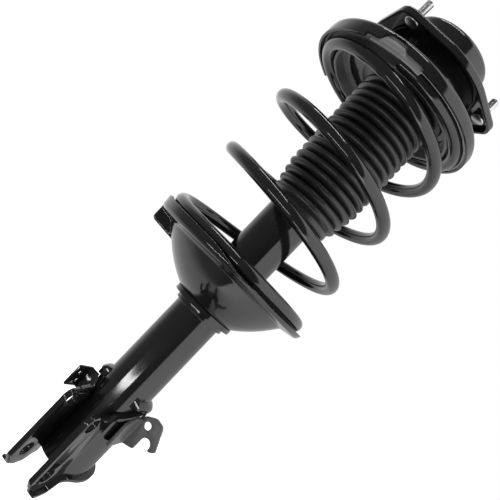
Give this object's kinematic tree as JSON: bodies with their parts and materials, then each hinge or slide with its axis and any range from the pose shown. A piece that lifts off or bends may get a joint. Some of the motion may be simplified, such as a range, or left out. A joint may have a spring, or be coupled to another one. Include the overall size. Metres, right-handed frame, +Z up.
{
  "type": "front suspension strut assembly",
  "caption": "Complete suspension strut: studded top mount, offset spring seats, left-hand coil spring, ribbed boot, damper tube and a two-ear knuckle bracket.",
  "frame": {"origin": "centre of the three-stud circle, at the studs' shoulders, 0.8 mm above the top mount plate's upper face", "axes": "+Z up the damper rod, out of the top mount, whose plate leans 2.2 degrees off it; -Y the way the knuckle bracket's two ears point; X along the knuckle bolts"},
  "size_m": [0.1868, 0.1861, 0.5707],
  "materials": {
    "black_gloss_paint": "gloss",
    "dark_satin_paint": "satin",
    "zinc_plate": "satin",
    "ground_chrome": "polished",
    "bearing_steel": "ground",
    "sintered_steel": "matte",
    "black_rubber": "satin",
    "grey_rubber": "matte",
    "bumper_foam": "matte",
    "bush_lining": "matte"
  },
  "bodies": {
    "top_mount": {"mount_plate": "black_gloss_paint", "mount_studs": "zinc_plate", "mount_housing": "black_gloss_paint", "mount_lower_cup": "black_gloss_paint", "mount_rubber": "black_rubber", "dust_cap": "black_rubber", "bearing_carrier": "bearing_steel", "bearing_outer_race": "bearing_steel"},
    "ball_cage": {"bearing_balls": "bearing_steel", "bearing_cage": "bearing_steel"},
    "rod_assembly": {"bearing_inner_race": "bearing_steel", "piston_rod": "ground_chrome", "rod_washer": "zinc_plate", "rod_nut": "zinc_plate", "support_spacer": "bearing_steel", "bumper_cup": "zinc_plate", "jounce_bumper": "bumper_foam", "upper_spring_seat": "black_gloss_paint", "upper_spring_insulator": "grey_rubber", "coil_spring": "black_gloss_paint", "dust_boot": "black_rubber", "rebound_cushion": "black_rubber", "rebound_stop": "sintered_steel", "piston": "sintered_steel", "piston_ring": "bush_lining", "compression_discs": "bearing_steel", "rebound_discs": "bearing_steel", "piston_nut": "zinc_plate"},
    "strut_body": {"reservoir_tube": "black_gloss_paint", "tube_cap": "black_gloss_paint", "rod_seal": "black_rubber", "rod_guide": "sintered_steel", "guide_bush": "bush_lining", "inner_cylinder": "bearing_steel", "base_valve": "sintered_steel", "base_valve_discs": "bearing_steel", "base_valve_rivet": "zinc_plate", "base_cup": "bearing_steel", "lower_spring_seat": "black_gloss_paint", "lower_spring_pad": "grey_rubber", "seat_collar": "black_gloss_paint", "knuckle_bracket": "black_gloss_paint", "ear_stiffener_left": "black_gloss_paint", "ear_stiffener_right": "black_gloss_paint", "hose_bracket": "dark_satin_paint", "wire_bracket": "black_gloss_paint"}
  },
  "joints": [
    {"name": "bearing_turn", "type": "hinge", "parent": "top_mount", "child": "rod_assembly", "pos_m": [0, 0, -0.005], "axis": [0, 0, 1], "continuous": true},
    {"name": "ball_cage_turn", "type": "hinge", "parent": "top_mount", "child": "ball_cage", "pos_m": [0, 0, -0.005], "axis": [0, 0, 1], "continuous": true},
    {"name": "damper_slide", "type": "slide", "parent": "rod_assembly", "child": "strut_body", "axis": [0, 0, 1], "range_m": [0, 0.1], "stiffness_N_per_m": 25000, "springref_m": -0.02, "deforming": ["coil_spring"]}
  ],
  "couplings": [
    {"joint": "ball_cage_turn", "follows": "bearing_turn", "ratio": 0.36562}
  ]
}
